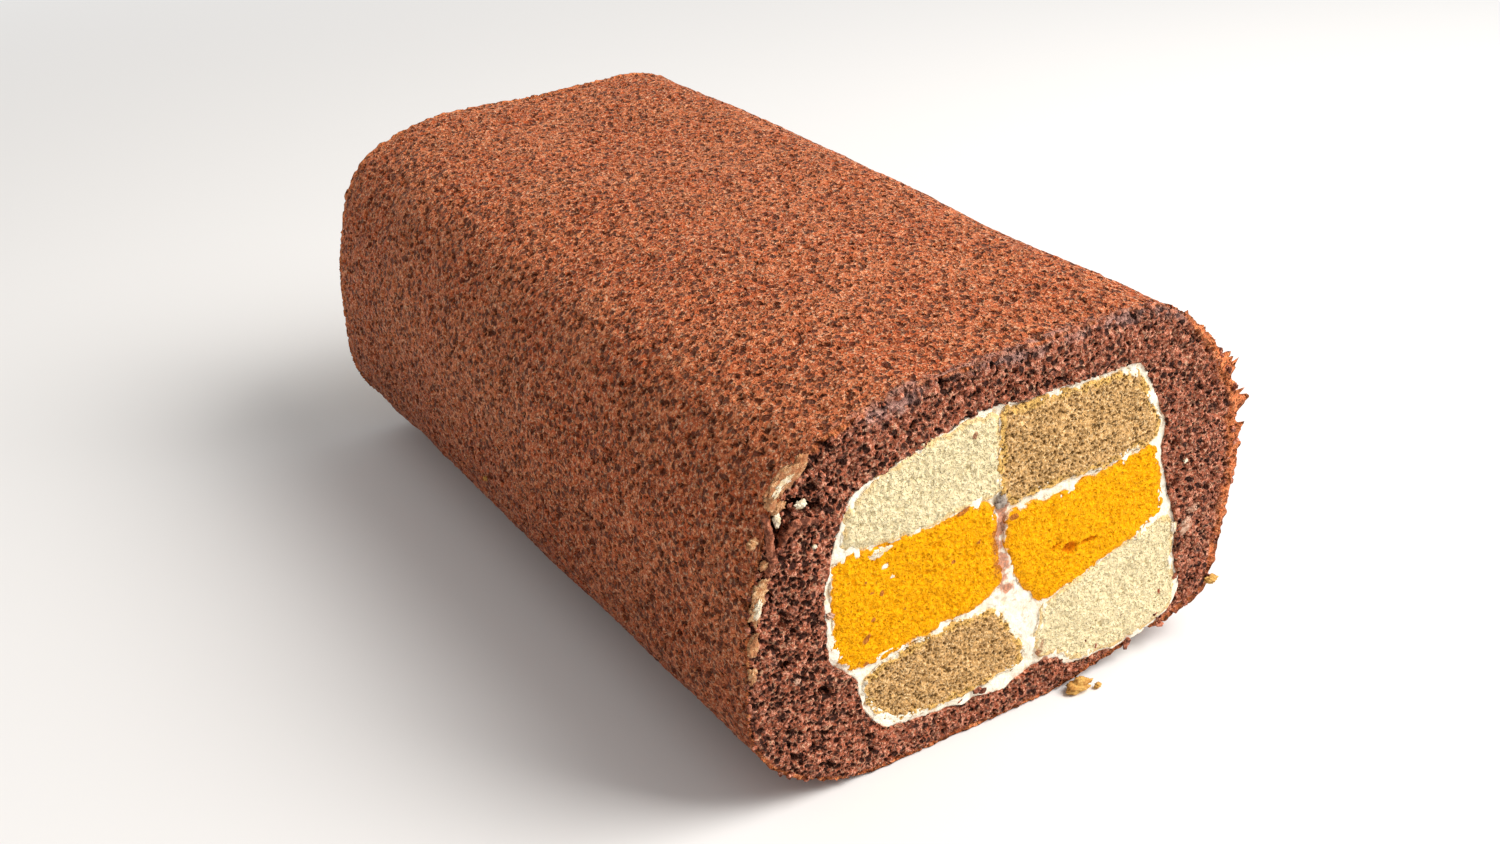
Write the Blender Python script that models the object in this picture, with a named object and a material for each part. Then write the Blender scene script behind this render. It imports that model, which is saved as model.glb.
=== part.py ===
"""Swiss roll cake, built alone: a thick chocolate sponge sheet wrapped round a core of six sponge
blocks (two columns, three rows) that are held together by thin cream.

Frame: origin on the table under the middle of the roll, +X to the right across the near cut face,
+Y away along the roll, +Z up.  The near cut face is at -Y, the far one at +Y, and every piece runs
the whole length between them.
"""
import bpy
import math
from mathutils import Vector

MM = 0.001
ROLL_LENGTH = 180.0 * MM      # near cut face to far cut face
FAR_RISE = 0.035              # the roll stands this much taller at its far end
FIT_GAP = 0.3 * MM            # clear space left between neighbouring pieces
ARC_STEP = math.radians(14)   # largest turn of one facet on a rounded corner

# Outlines of the section.  Each corner is (across, up, rounding radius) in millimetres.
# Outside of the wrap, from the thin end under the core, round the left side and over the top,
# to the thin end that comes down the right side.
WRAP_OUTSIDE = [
    (33.8, 3.6, 0.3), (12, 0, 20), (-36, 0, 34), (-57, 12, 20), (-57, 46, 34), (-49.5, 68.5, 18),
    (-28, 75, 34), (32, 78, 20), (46.5, 66.5, 26), (55.5, 52.5, 20), (57.5, 36, 26), (54, 9, 6),
    (39, 4.6, 0.3)]
# Inside of the wrap, from the thin end on the right back to the thin end under the core.
WRAP_INSIDE = [
    (39, 5.6, 0.3), (44.4, 8.4, 3), (45.4, 12, 4), (43.4, 20, 8), (42.4, 29, 6), (35.2, 45.5, 5),
    (36.8, 51, 4), (31.5, 60.5, 6), (28.5, 66.2, 4), (-10, 66.6, 20), (-36.5, 59.5, 6),
    (-40.5, 50.5, 8), (-41.5, 38, 12), (-40.5, 28, 6), (-33.8, 21.5, 4), (-33, 14.5, 4),
    (-28, 8.6, 4), (1, 6.3, 8), (8.5, 8.4, 3), (14, 8, 1.5), (16, 5, 1.5), (33.8, 4.4, 0.3)]

# The pocket in the cream that each block sits in.
POCKETS = {
    "pale_block_upper_left": [
        (-38.2, 48.9, 1.5), (-37.2, 55.5, 4), (-31, 60.2, 6), (-12, 64.6, 8), (-6.2, 64.8, 1.2),
        (-4.9, 50.2, 1.5), (-20, 48.6, 10)],
    "coffee_block_upper_right": [
        (-4.6, 65, 1.2), (27, 64.4, 3.5), (30, 59.5, 4), (34, 52.5, 3), (33, 48.8, 1.5),
        (10, 47.6, 10), (-2, 46.9, 2), (-3.4, 50.5, 3)],
    "orange_block_left": [
        (-39.3, 46.9, 2), (-20, 46.9, 10), (-6.6, 48.2, 1.5), (-4, 37, 6), (-2, 30.8, 1.8),
        (-12, 27.4, 10), (-34.5, 24.5, 2.5), (-39, 29.5, 4)],
    "orange_block_right": [
        (-1.6, 44.4, 1.5), (9, 43.9, 8), (33.3, 47.2, 1.6), (35.4, 40, 6), (38.2, 32.8, 2),
        (21, 26.7, 10), (8.8, 23.2, 1.5), (2.6, 29.5, 5), (-1.4, 38.5, 6)],
    "coffee_block_lower_left": [
        (-32, 21.4, 2.5), (-24, 23.7, 8), (-12, 25.2, 6), (-3.2, 25, 2.5), (5.8, 11, 2),
        (-12, 9.8, 10), (-26, 9.9, 3), (-31.2, 15.2, 4)],
    "pale_block_lower_right": [
        (9.4, 21.4, 1.5), (21, 25.1, 10), (38.9, 30.9, 2.5), (41, 27, 3), (41.7, 20, 8),
        (43.5, 12, 4), (40.5, 7.6, 4), (28, 5.9, 10), (17.6, 6.8, 2), (15.6, 9.4, 2),
        (8.4, 11.5, 2.5)]}

# Plain colour, roughness of each kind of sponge and of the cream.
MATERIALS = {
    "chocolate_sponge": ((0.13, 0.035, 0.016), 0.85),
    "pale_sponge": ((0.82, 0.70, 0.36), 0.85),
    "coffee_sponge": ((0.34, 0.22, 0.07), 0.85),
    "orange_sponge": ((0.92, 0.40, 0.01), 0.80),
    "cream": ((0.86, 0.80, 0.66), 0.55)}
BLOCK_SPONGE = {"pale": "pale_sponge", "coffee": "coffee_sponge", "orange": "orange_sponge"}


def clear_scene():
    """Remove whatever objects the file starts with."""
    for old in list(bpy.data.objects):
        bpy.data.objects.remove(old, do_unlink=True)


def new_collection(name):
    """A collection of that name under the scene."""
    group = bpy.data.collections.new(name)
    bpy.context.scene.collection.children.link(group)
    return group


def plain_material(name):
    """A plain surface with the colour and roughness listed for that food."""
    colour, roughness = MATERIALS[name]
    material = bpy.data.materials.new(name)
    material.use_nodes = True
    shader = material.node_tree.nodes["Principled BSDF"]
    shader.inputs["Base Color"].default_value = (*colour, 1.0)
    shader.inputs["Roughness"].default_value = roughness
    shader.inputs["Metallic"].default_value = 0.0
    return material


def corner_sides(corners, i):
    """The corner point and the unit directions of the edges that arrive at and leave it."""
    before, here, after = (Vector(corners[k % len(corners)][:2]) for k in (i - 1, i, i + 1))
    return here, (here - before).normalized(), (after - here).normalized()


def turns_left(corners):
    """+1 for an outline drawn anticlockwise, -1 for a clockwise one."""
    area = sum(a[0] * b[1] - b[0] * a[1] for a, b in zip(corners, corners[1:] + corners[:1]))
    return 1.0 if area > 0 else -1.0


def inset(corners, distance):
    """Move every edge inward by a distance, keeping the roundings concentric."""
    way = turns_left(corners)
    moved = []
    for i in range(len(corners)):
        here, arrive, leave = corner_sides(corners, i)
        left_a = Vector((-arrive.y, arrive.x)) * way
        left_b = Vector((-leave.y, leave.x)) * way
        shift = (left_a + left_b) * (distance / (1.0 + left_a.dot(left_b)))
        convex = arrive.cross(leave) * way > 0
        radius = max(0.05, corners[i][2] + (-distance if convex else distance))
        moved.append((here.x + shift.x, here.y + shift.y, radius))
    return moved


def rounded(corners):
    """Points of an outline whose corners are replaced by arcs, in metres."""
    points = []
    for i in range(len(corners)):
        here, arrive, leave = corner_sides(corners, i)
        before = Vector(corners[i - 1][:2])
        after = Vector(corners[(i + 1) % len(corners)][:2])
        turn = math.atan2(arrive.cross(leave), arrive.dot(leave))
        half = math.tan(abs(turn) / 2.0)
        room = 0.48 * min((here - before).length, (after - here).length)
        radius = min(corners[i][2], room / max(half, 1e-6))
        side = 1.0 if turn > 0 else -1.0
        start = here - arrive * (radius * half)
        centre = start + Vector((-arrive.y, arrive.x)) * (radius * side)
        steps = max(1, math.ceil(abs(turn) / ARC_STEP))
        for k in range(steps + 1):
            angle = turn * k / steps
            spoke = start - centre
            points.append(centre + Vector((spoke.x * math.cos(angle) - spoke.y * math.sin(angle),
                                           spoke.x * math.sin(angle) + spoke.y * math.cos(angle))))
    return [point * MM for point in points]


def drawn_through(name, outlines):
    """Fill flat outlines (later ones are holes) and carry them the whole length of the roll."""
    curve = bpy.data.curves.new(name, "CURVE")
    curve.dimensions = "2D"
    curve.fill_mode = "BOTH"
    curve.extrude = ROLL_LENGTH / 2.0
    for corners in outlines:
        points = rounded(corners)
        spline = curve.splines.new("POLY")
        spline.points.add(len(points) - 1)
        for place, point in zip(spline.points, points):
            place.co = (point.x, point.y, 0.0, 1.0)
        spline.use_cyclic_u = True
    holder = bpy.data.objects.new(name + "_outline", curve)
    holder.rotation_euler = (math.pi / 2.0, 0.0, 0.0)
    bpy.context.scene.collection.objects.link(holder)
    bpy.context.view_layer.update()
    return holder


def to_solid(holder, name, group, material):
    """Turn the drawn outline into a welded mesh that rises a little towards the far end."""
    graph = bpy.context.evaluated_depsgraph_get()
    mesh = bpy.data.meshes.new_from_object(holder.evaluated_get(graph))
    mesh.name = name
    mesh.transform(holder.matrix_world)
    curve = holder.data
    bpy.data.objects.remove(holder, do_unlink=True)
    bpy.data.curves.remove(curve)
    weld(mesh)
    for vertex in mesh.vertices:
        along = vertex.co.y / ROLL_LENGTH + 0.5
        vertex.co.z *= 1.0 + FAR_RISE * along
    mesh.materials.clear()
    mesh.materials.append(material)
    solid = bpy.data.objects.new(name, mesh)
    group.objects.link(solid)
    return solid


def weld(mesh):
    """Join the doubled points along the edges of the end faces and face everything outward."""
    import bmesh
    work = bmesh.new()
    work.from_mesh(mesh)
    bmesh.ops.remove_doubles(work, verts=work.verts, dist=1e-6)
    bmesh.ops.recalc_face_normals(work, faces=work.faces)
    work.to_mesh(mesh)
    work.free()


def chocolate_wrap(group, material):
    """The thick sponge sheet: a C in section, thin at its two ends under the core."""
    holder = drawn_through("chocolate_wrap", [WRAP_OUTSIDE + WRAP_INSIDE])
    return to_solid(holder, "chocolate_wrap", group, material)


def cream_filling(group, material):
    """One body of cream: a coat inside the wrap and thin walls between the six pockets."""
    coat = inset(WRAP_INSIDE, FIT_GAP / MM)
    holder = drawn_through("cream_filling", [coat] + list(POCKETS.values()))
    return to_solid(holder, "cream_filling", group, material)


def sponge_block(name, group, material):
    """One long sponge block, a little smaller all round than its pocket in the cream."""
    holder = drawn_through(name, [inset(POCKETS[name], FIT_GAP / MM)])
    return to_solid(holder, name, group, material)


def main():
    clear_scene()
    group = new_collection("swiss_roll_cake")
    foods = {name: plain_material(name) for name in MATERIALS}
    chocolate_wrap(group, foods["chocolate_sponge"])
    cream_filling(group, foods["cream"])
    for name in POCKETS:
        sponge_block(name, group, foods[BLOCK_SPONGE[name.split("_")[0]]])


main()
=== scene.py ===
"""Looks of a Swiss roll cake: a chocolate sponge wrap round six sponge blocks held by thin cream.

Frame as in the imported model, in metres: +X across the near cut face, +Y away along the roll, +Z up.
Section coordinates (across, up) and everything called a size, pitch or depth are in millimetres.
"""
import math

import bpy
import numpy as np
from bpy.props import FloatProperty, FloatVectorProperty, IntProperty, PointerProperty
from mathutils import Euler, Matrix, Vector
from mathutils.geometry import delaunay_2d_cdt


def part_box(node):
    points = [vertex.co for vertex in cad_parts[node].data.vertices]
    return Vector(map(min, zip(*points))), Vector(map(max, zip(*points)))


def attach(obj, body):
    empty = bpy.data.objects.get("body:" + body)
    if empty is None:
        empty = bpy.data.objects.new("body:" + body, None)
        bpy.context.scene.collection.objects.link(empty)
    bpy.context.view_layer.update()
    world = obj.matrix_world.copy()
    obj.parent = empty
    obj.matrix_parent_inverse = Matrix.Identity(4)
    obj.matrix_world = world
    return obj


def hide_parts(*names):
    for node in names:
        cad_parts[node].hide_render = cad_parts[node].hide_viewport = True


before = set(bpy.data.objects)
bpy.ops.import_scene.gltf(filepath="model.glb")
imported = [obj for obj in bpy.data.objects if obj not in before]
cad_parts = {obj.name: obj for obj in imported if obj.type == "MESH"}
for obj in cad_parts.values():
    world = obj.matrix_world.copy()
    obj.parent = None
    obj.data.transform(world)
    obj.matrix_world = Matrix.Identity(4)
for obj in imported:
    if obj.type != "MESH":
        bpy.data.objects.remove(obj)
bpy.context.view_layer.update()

bl_info = {
    "name": "Swiss roll cake",
    "version": (1, 0, 0),
    "blender": (4, 5, 0),
    "location": "View3D > Sidebar > Swiss roll",
    "description": "Makes the skin, crumb, cream and crumbs of a cut Swiss roll",
    "category": "Add Mesh",
}

MM = 0.001
COARSE = 1.0
LOW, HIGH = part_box("chocolate_wrap")
NEAR_Y, FAR_Y = LOW.y / MM, HIGH.y / MM
LENGTH = FAR_Y - NEAR_Y

FACE_PITCH = 0.29             # spacing of the points of the cut faces
CRUMB_PITCH = 0.25            # spacing of the points of the blocks' faces
SKIN_PITCH = 0.44             # spacing of the points of the skin
UNDER_PITCH = 1.3             # spacing of the skin's points where it lies on the table
UNDERSIDE = 3.0               # height below which the skin counts as lying on the table
SPLITS = (0.13, 0.5, 0.87)    # where the wrap is split along the roll, as shares of its length
WRAP_LENGTHS = ("wrap_near_end", "wrap_near_half", "wrap_far_half", "wrap_far_end")
HOLLOW_DEPTH = 5.5            # depth of the torn hollows of the near face
FAR_CRUMB = 0.9               # depth of the far face's crumb as a share of the near one's
BLOCK_SPREAD = 0.3            # how far every block stands out beyond its own solid, besides
PRESSED = {"pale": 1.15, "coffee": 0.95, "orange": 0.95}   # how far each lies over the cream

# Where the two thin ends of the wrap stop under the core: (across, up).
END_UNDER_CORE = (33.8, 4.0)
END_FROM_RIGHT = (39.0, 5.1)

BLOCKS = {
    "pale_block_upper_left": "pale", "coffee_block_upper_right": "coffee",
    "orange_block_left": "orange", "orange_block_right": "orange",
    "coffee_block_lower_left": "coffee", "pale_block_lower_right": "pale"}


# ---------------------------------------------------------------- repeatable randomness

def lattice(ix, iy, seed):
    """Repeatable random numbers from 0 to 1, one for each whole-number grid place."""
    h = (ix.astype(np.int64) * 374761393 + iy.astype(np.int64) * 668265263 + seed * 974711)
    h = h & 0xFFFFFFFF
    h = ((h ^ (h >> 13)) * 1274126177) & 0xFFFFFFFF
    return ((h ^ (h >> 16)) & 0xFFFFFFFF) / 4294967296.0


def rolling(u, v, size, seed):
    """Smooth random heights from -1 to 1: grid values of that size joined by a smooth step."""
    x, y = u / size, v / size
    ix, iy = np.floor(x), np.floor(y)
    fx, fy = x - ix, y - iy
    fx, fy = fx * fx * (3 - 2 * fx), fy * fy * (3 - 2 * fy)
    low = lattice(ix, iy, seed) * (1 - fx) + lattice(ix + 1, iy, seed) * fx
    high = lattice(ix, iy + 1, seed) * (1 - fx) + lattice(ix + 1, iy + 1, seed) * fx
    return 2 * (low * (1 - fy) + high * fy) - 1


def grainy(u, v, size, seed, layers=3):
    """Rolling heights summed over layers, each half as large and half as wide as the last."""
    total = np.zeros(np.broadcast(u, v).shape)
    for k in range(layers):
        total = total + rolling(u, v, size / 2 ** k, seed + 17 * k) / 2 ** k
    return total / (2 - 0.5 ** (layers - 1))


def pores(u, v, cell, small, large, share, seed):
    """Bowl-shaped pits, 1 at the middle and 0 at the rim.

    Each square of a grid may hold one pit, off centre, turned and drawn out by its own amount.
    A place takes the deepest bowl of its own square and the eight round it.
    """
    gx, gy = np.floor(u / cell), np.floor(v / cell)
    deepest = np.zeros(np.broadcast(u, v).shape)
    for dx in (-1, 0, 1):
        for dy in (-1, 0, 1):
            cx, cy = gx + dx, gy + dy
            px = (cx + 0.1 + 0.8 * lattice(cx, cy, seed)) * cell
            py = (cy + 0.1 + 0.8 * lattice(cx, cy, seed + 1)) * cell
            radius = small + (large - small) * lattice(cx, cy, seed + 2) ** 2
            turn = lattice(cx, cy, seed + 3) * math.pi
            stretch = 1.0 + 0.4 * lattice(cx, cy, seed + 4)
            a = (u - px) * np.cos(turn) + (v - py) * np.sin(turn)
            b = (v - py) * np.cos(turn) - (u - px) * np.sin(turn)
            away = (a / (radius * stretch)) ** 2 + (b * stretch ** 0.5 / radius) ** 2
            bowl = np.clip(1 - away, 0, 1) * (lattice(cx, cy, seed + 5) < share)
            deepest = np.maximum(deepest, bowl)
    return deepest


def foam(u, v, cell, seed):
    """Open crumb: pits side by side, 1 at a pit's middle and 0 on the thin walls between.

    Each square of a grid holds one scattered middle.  A place counts by how much nearer it lies
    to its own middle than to the next one, times that pit's own random strength.
    """
    gx, gy = np.floor(u / cell), np.floor(v / cell)
    first = np.full(np.broadcast(u, v).shape, 9.0)
    second, strength = first.copy(), np.zeros(first.shape)
    for dx in (-1, 0, 1):
        for dy in (-1, 0, 1):
            cx, cy = gx + dx, gy + dy
            away = np.hypot(u / cell - cx - lattice(cx, cy, seed),
                            v / cell - cy - lattice(cx, cy, seed + 1))
            closer = away < first
            second = np.where(closer, first, np.minimum(second, away))
            strength = np.where(closer, lattice(cx, cy, seed + 2), strength)
            first = np.where(closer, away, first)
    return np.clip((second - first) / 0.6, 0, 1) * strength


def patches(p, spots, seed=5):
    """How much each place lies in a list of oval spots (across, up, half width, half height,
    turn in degrees, strength), with ragged rims: 1 inside, falling off at the rim."""
    most = np.zeros(len(p))
    torn = 1 + 0.5 * grainy(p[:, 0], p[:, 1], 1.6, seed)
    for x, z, wide, tall, turn, strength in spots:
        c, s = math.cos(math.radians(turn)), math.sin(math.radians(turn))
        a = (p[:, 0] - x) * c + (p[:, 1] - z) * s
        b = (p[:, 1] - z) * c - (p[:, 0] - x) * s
        away = np.sqrt((a / wide) ** 2 + (b / tall) ** 2) * torn
        most = np.maximum(most, strength * np.clip(1.6 - 1.6 * away ** 2, 0, 1))
    return most


# ---------------------------------------------------------------- outlines of the section

def node_points(node):
    """A CAD node's mesh, and its points in millimetres."""
    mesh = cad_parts[node].data
    co = np.zeros(len(mesh.vertices) * 3)
    mesh.vertices.foreach_get("co", co)
    return mesh, co.reshape(-1, 3) / MM


def cut_outlines(node):
    """The closed outlines of a CAD node's near end, longest first, as (across, up) rows.

    An edge that only one triangle of the flat end uses lies on an outline; the edges are then
    followed from end to start.
    """
    mesh, co = node_points(node)
    mesh.calc_loop_triangles()
    tri = np.zeros(len(mesh.loop_triangles) * 3, np.int64)
    mesh.loop_triangles.foreach_get("vertices", tri)
    tri = tri.reshape(-1, 3)
    tri = tri[np.all(np.abs(co[tri][:, :, 1] - NEAR_Y) < 0.01, axis=1)]
    places, same = np.unique(np.round(co[:, [0, 2]], 3), axis=0, return_inverse=True)
    tri = same.reshape(-1)[tri]
    edges = np.concatenate([tri[:, [0, 1]], tri[:, [1, 2]], tri[:, [2, 0]]])
    there = {(a, b) for a, b in edges.tolist()}
    follow = {a: b for a, b in there if (b, a) not in there}
    outlines = []
    while follow:
        first, here = next(iter(follow.items()))
        chain = [first]
        while here != first:
            chain.append(here)
            here = follow.pop(here)
        follow.pop(first)
        outlines.append(places[chain])
    return sorted(outlines, key=lambda o: -np.ptp(o[:, 0]))


def lengths(path, closed=True):
    """Distance along a path at each of its points, and, if it is closed, back at the start."""
    if closed:
        path = np.vstack([path, path[:1]])
    return np.concatenate([[0], np.cumsum(np.hypot(*np.diff(path, axis=0).T))])


def even(path, pitch, closed=True):
    """The same path with points an even pitch apart."""
    along = lengths(path, closed)
    full = np.vstack([path, path[:1]]) if closed else path
    count = max(8, int(round(along[-1] / pitch)))
    at = np.linspace(0, along[-1], count, endpoint=False) if closed else \
        np.linspace(0, along[-1], count + 1)
    return np.stack([np.interp(at, along, full[:, k]) for k in (0, 1)], axis=1)


def softened(path, width, closed=True):
    """A path whose corners are eased by averaging each point with its neighbours."""
    reach = max(1, int(width))
    weight = np.exp(-0.5 * (np.arange(-2 * reach, 2 * reach + 1) / reach) ** 2)
    weight /= weight.sum()
    if closed:
        padded = np.vstack([path[-2 * reach:], path, path[:2 * reach]])
    else:
        start = 2 * path[0] - path[1:2 * reach + 1][::-1]
        stop = 2 * path[-1] - path[-2 * reach - 1:-1][::-1]
        padded = np.vstack([start, path, stop])
    return np.stack([np.convolve(padded[:, k], weight, "valid") for k in (0, 1)], axis=1)


def outward(path, closed=True):
    """Unit directions out of an outline drawn anticlockwise (across right, up up)."""
    if closed:
        run = np.roll(path, -1, axis=0) - np.roll(path, 1, axis=0)
    else:
        run = np.gradient(path, axis=0)
    run = run / np.maximum(np.hypot(*run.T), 1e-9)[:, None]
    return np.stack([run[:, 1], -run[:, 0]], axis=1)


def anticlockwise(path):
    """The outline drawn anticlockwise."""
    x, z = path.T
    area = np.sum(x * np.roll(z, -1) - np.roll(x, -1) * z)
    return path if area > 0 else path[::-1]


def wavered(path):
    """Hand-cut unevenness of everything inside the wrap: each place moves by a smooth random
    amount that depends only on where it is, so neighbours keep touching."""
    x, z = path.T
    dx = 0.45 * rolling(x, z, 7.0, 61) + 0.22 * grainy(x, z, 2.4, 62)
    dz = 0.45 * rolling(x, z, 7.0, 63) + 0.22 * grainy(x, z, 2.4, 64)
    return path + np.stack([dx, dz], axis=1)


def ragged(path, reach):
    """A torn outline: each point moves out or in by a fine random amount up to about reach."""
    s = lengths(path)[:-1]
    ends = np.clip(np.minimum(s, s[-1] - s) / 2.0, 0, 1)
    fine = grainy(path[:, 0] + 50, path[:, 1], 2.0, 67, 3) * (0.4 + 0.6 * ends)
    return path + (reach * fine)[:, None] * outward(path)


def nearest(points, path):
    """Distance from each point to the nearest point of a path."""
    best = np.empty(len(points))
    for k in range(0, len(points), 4000):
        part = points[k:k + 4000]
        away = (part[:, None, 0] - path[None, :, 0]) ** 2 + \
            (part[:, None, 1] - path[None, :, 1]) ** 2
        best[k:k + 4000] = np.sqrt(away.min(axis=1))
    return best


def inside(xs, z, outlines):
    """For one row of a grid at a height: which places lie inside, by counting crossings."""
    crossings = []
    for path in outlines:
        a, b = path, np.roll(path, -1, axis=0)
        cut = (a[:, 1] > z) != (b[:, 1] > z)
        a, b = a[cut], b[cut]
        crossings.append(a[:, 0] + (z - a[:, 1]) / (b[:, 1] - a[:, 1]) * (b[:, 0] - a[:, 0]))
    return np.searchsorted(np.sort(np.concatenate(crossings)), xs) % 2 == 1


def flat_section(outlines, pitch):
    """Points and triangles that fill a section: its outlines first, in order, then a grid of
    that pitch, every other row shifted by half and each place moved a little at random."""
    outlines = [o.astype(np.float32).astype(float) for o in outlines]
    rim = np.vstack(outlines)
    low, high = rim.min(axis=0), rim.max(axis=0)
    rows = []
    step = pitch * math.sqrt(3) / 2
    for k, z in enumerate(np.arange(low[1] + step / 2, high[1], step)):
        xs = np.arange(low[0] + (k % 2) * pitch / 2, high[0], pitch)
        xs = xs[inside(xs, z, outlines)]
        rows.append(np.stack([xs, np.full(len(xs), z)], axis=1))
    grid = np.vstack(rows)
    grid = grid[nearest(grid, rim) > pitch * 0.62]
    shake = np.stack([lattice(np.arange(len(grid)), np.full(len(grid), 3 + k), 9)
                      for k in (0, 1)], axis=1) - 0.5
    grid = (grid + shake * pitch * 0.35).astype(np.float32).astype(float)
    points = np.vstack([rim, grid])
    edges, first = [], 0
    for path in outlines:
        count = len(path)
        edges += [(first + k, first + (k + 1) % count) for k in range(count)]
        first += count
    made = delaunay_2d_cdt([Vector(p) for p in points.tolist()], edges, [], 1, 1e-7, False)
    if len(made[0]) != len(points):
        raise RuntimeError("an outline of the section crosses itself")
    tri = np.array(made[2])
    middle = points[tri].mean(axis=1)
    order = np.argsort(middle[:, 1])
    keep = np.zeros(len(tri), bool)
    for part in np.array_split(order, max(1, len(order) // 400)):
        keep[part] = odd_crossings(middle[part], outlines)
    tri = tri[keep]
    a, b, c = points[tri[:, 0]], points[tri[:, 1]], points[tri[:, 2]]
    turn = (b - a)[:, 0] * (c - a)[:, 1] - (b - a)[:, 1] * (c - a)[:, 0]
    tri[turn < 0] = tri[turn < 0][:, ::-1]
    return points, tri


def odd_crossings(points, outlines):
    """Which points lie inside, when a line to the right of each is followed outward."""
    count = np.zeros(len(points), int)
    low, high = points[:, 1].min(), points[:, 1].max()
    for path in outlines:
        a, b = path, np.roll(path, -1, axis=0)
        close = (np.minimum(a[:, 1], b[:, 1]) <= high) & (np.maximum(a[:, 1], b[:, 1]) >= low)
        a, b = a[close], b[close]
        z = points[:, 1][:, None]
        cut = (a[None, :, 1] > z) != (b[None, :, 1] > z)
        climb = np.where(b[:, 1] == a[:, 1], 1e-9, b[:, 1] - a[:, 1])
        x = a[None, :, 0] + (z - a[None, :, 1]) / climb[None] * (b - a)[None, :, 0]
        count += np.sum(cut & (x > points[:, 0][:, None]), axis=1)
    return count % 2 == 1


def rise(y):
    """How much taller the roll stands at a distance along it than at its near end."""
    return 1.0 + FAR_RISE * (y - NEAR_Y) / LENGTH


def measured_rise():
    """The far end's height over the near end's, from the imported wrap."""
    co = node_points("chocolate_wrap")[1]
    near = co[np.abs(co[:, 1] - NEAR_Y) < 0.01, 2].max()
    far = co[np.abs(co[:, 1] - FAR_Y) < 0.01, 2].max()
    return far / near - 1.0


FAR_RISE = measured_rise()


# ---------------------------------------------------------------- meshes

def new_piece(name, points, polygons, finish, replaced, marks=None, flat=()):
    """A mesh object from points in millimetres and lists of same-sided polygon arrays.

    marks are numbers kept at each point for the material to read; flat lists the indices of
    polygon arrays that aren't smoothed.
    """
    mesh = bpy.data.meshes.new(name)
    corners = np.concatenate([p.reshape(-1) for p in polygons]).astype(np.int32)
    sides = np.concatenate([np.full(len(p), p.shape[1]) for p in polygons])
    starts = np.concatenate([[0], np.cumsum(sides)[:-1]]).astype(np.int32)
    smooth = np.concatenate([np.full(len(p), k not in flat) for k, p in enumerate(polygons)])
    mesh.vertices.add(len(points))
    mesh.vertices.foreach_set("co", (points * MM).astype(np.float32).reshape(-1))
    mesh.loops.add(len(corners))
    mesh.loops.foreach_set("vertex_index", corners)
    mesh.polygons.add(len(starts))
    mesh.polygons.foreach_set("loop_start", starts)
    mesh.polygons.foreach_set("use_smooth", smooth)
    mesh.update(calc_edges=True)
    if mesh.validate():
        raise RuntimeError(f"{name} had broken faces")
    for mark, values in (marks or {}).items():
        layer = mesh.attributes.new(mark, "FLOAT", "POINT")
        layer.data.foreach_set("value", values.astype(np.float32))
    mesh.materials.append(finish)
    piece = bpy.data.objects.new(name, mesh)
    bpy.context.scene.collection.objects.link(piece)
    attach(piece, "root")
    if replaced:
        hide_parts(replaced)
    return piece


def strips(count, rows, first=0, closed=True):
    """Quads of a grid of rows of count points, numbered row by row, facing outward when the
    points run anticlockwise and the rows go away from the viewer."""
    j = np.arange(count if closed else count - 1)
    i = np.arange(rows - 1)
    a = first + i[:, None] * count + j[None]
    b = first + i[:, None] * count + (j[None] + 1) % count
    return np.stack([a, a + count, b + count, b], axis=-1).reshape(-1, 4)


# ---------------------------------------------------------------- relief of each cut food

def crumb_relief(p, kind, seed):
    """How deep each place of a cut face lies, in millimetres, and how much it is a pore (0..1).

    The depth is the sum of a gentle swell, a grain, a foam of fine pits and a few wide bowls;
    the sizes differ from sponge to sponge.
    """
    x, z = p.T
    look = CRUMB[kind]
    fine = foam(x, z, look["cell"], seed)
    wide = pores(x, z, look["wide_cell"], look["wide"][0], look["wide"][1], look["wide_share"],
                 seed + 40)
    grain = grainy(x, z, look["grain"], seed + 80, 2)
    swell = rolling(x, z, 9.0, seed + 90)
    depth = look["depth"] * fine + look["wide_depth"] * wide + look["rough"] * grain + \
        look["swell"] * swell
    return depth, np.clip(np.maximum(1.3 * fine, wide) + 0.2 * grain, 0, 1)


CRUMB = {
    "chocolate": dict(cell=0.95, depth=1.0, grain=0.9, rough=0.35, swell=0.5, wide_cell=4.2,
                      wide=(0.5, 1.05), wide_share=0.32, wide_depth=1.6),
    "coffee": dict(cell=0.8, depth=0.75, grain=0.8, rough=0.22, swell=0.3, wide_cell=5.0,
                   wide=(0.4, 0.7), wide_share=0.2, wide_depth=0.6),
    "pale": dict(cell=0.8, depth=0.4, grain=1.0, rough=0.22, swell=0.35, wide_cell=5.0,
                 wide=(0.4, 0.8), wide_share=0.15, wide_depth=0.5),
    "orange": dict(cell=0.75, depth=0.35, grain=0.9, rough=0.2, swell=0.3, wide_cell=6.0,
                   wide=(0.35, 0.7), wide_share=0.2, wide_depth=0.4),
}

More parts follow.
